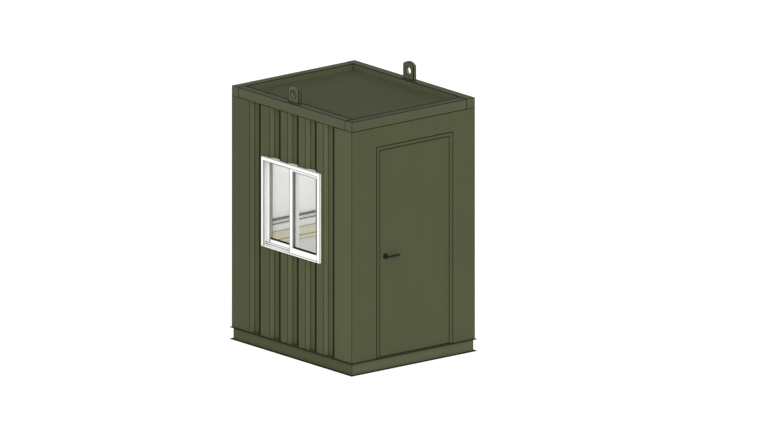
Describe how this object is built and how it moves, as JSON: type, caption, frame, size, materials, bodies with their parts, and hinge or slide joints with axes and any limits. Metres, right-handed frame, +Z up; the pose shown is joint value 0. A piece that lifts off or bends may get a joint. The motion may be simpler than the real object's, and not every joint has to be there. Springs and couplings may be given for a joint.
{
  "type": "security guard booth",
  "caption": "Free-standing steel guard booth with grooved sheet walls, an I-beam base, a sliding window, a hinged door with a lever handle and lifting lugs on its roof ring.",
  "frame": {"origin": "on the ground under the middle of the booth", "axes": "+Z up, the door wall faces -Y, the window wall faces -X"},
  "size_m": [1.536, 1.8605, 2.654],
  "materials": {
    "olive_paint": "satin olive green coating",
    "dark_paint": "matt olive green primer coat",
    "roof_paint": "matt weathered olive green coating",
    "white_board": "smooth white laminate",
    "floor_board": "plain sealed board",
    "desk_board": "light wood laminate",
    "trunking_plastic": "smooth white plastic",
    "window_plastic": "smooth white plastic",
    "window_glass": "clear",
    "black_metal": "satin black coating"
  },
  "bodies": {
    "booth": {"front_base_beam": "olive_paint", "back_base_beam": "olive_paint", "left_base_beam": "olive_paint", "right_base_beam": "olive_paint", "floor_joists": "dark_paint", "floor_board": "floor_board", "window_wall_sheet": "olive_paint", "blind_wall_sheet": "olive_paint", "back_wall_sheet": "olive_paint", "left_front_sheet": "olive_paint", "right_front_sheet": "olive_paint", "over_door_sheet": "olive_paint", "window_wall_lining": "white_board", "blind_wall_lining": "white_board", "back_wall_lining": "white_board", "left_front_lining": "white_board", "right_front_lining": "white_board", "over_door_lining": "white_board", "ceiling": "white_board", "front_roof_tube": "olive_paint", "back_roof_tube": "olive_paint", "left_roof_tube": "olive_paint", "right_roof_tube": "olive_paint", "roof_tube_caps": "olive_paint", "roof_sheet": "roof_paint", "left_lug": "olive_paint", "right_lug": "olive_paint", "window_frame": "window_plastic", "outer_sash": "window_plastic", "inner_sash": "window_plastic", "outer_pane": "window_glass", "inner_pane": "window_glass", "left_jamb": "olive_paint", "hinge_jamb": "olive_paint", "door_head": "olive_paint", "frame_hinges": "dark_paint", "desk_top": "desk_board", "cable_trunking": "trunking_plastic"},
    "door": {"leaf_pan": "olive_paint", "leaf_back": "olive_paint", "leaf_hinges": "dark_paint", "outer_rose": "black_metal", "inner_rose": "black_metal"},
    "lever": {"outer_lever": "black_metal", "inner_lever": "black_metal", "lever_spindle": "black_metal"}
  },
  "joints": [
    {"name": "door_swing", "type": "hinge", "parent": "booth", "child": "door", "pos_m": [0.4468, -0.8453, 1.12], "axis": [0, 0, -1], "range_deg": [0, 100]},
    {"name": "lever_turn", "type": "hinge", "parent": "door", "child": "lever", "pos_m": [-0.338, -0.8745, 1.105], "axis": [0, 1, 0], "range_deg": [0, 40], "stiffness_Nm_per_rad": 1.5, "springref_deg": -28.65}
  ]
}
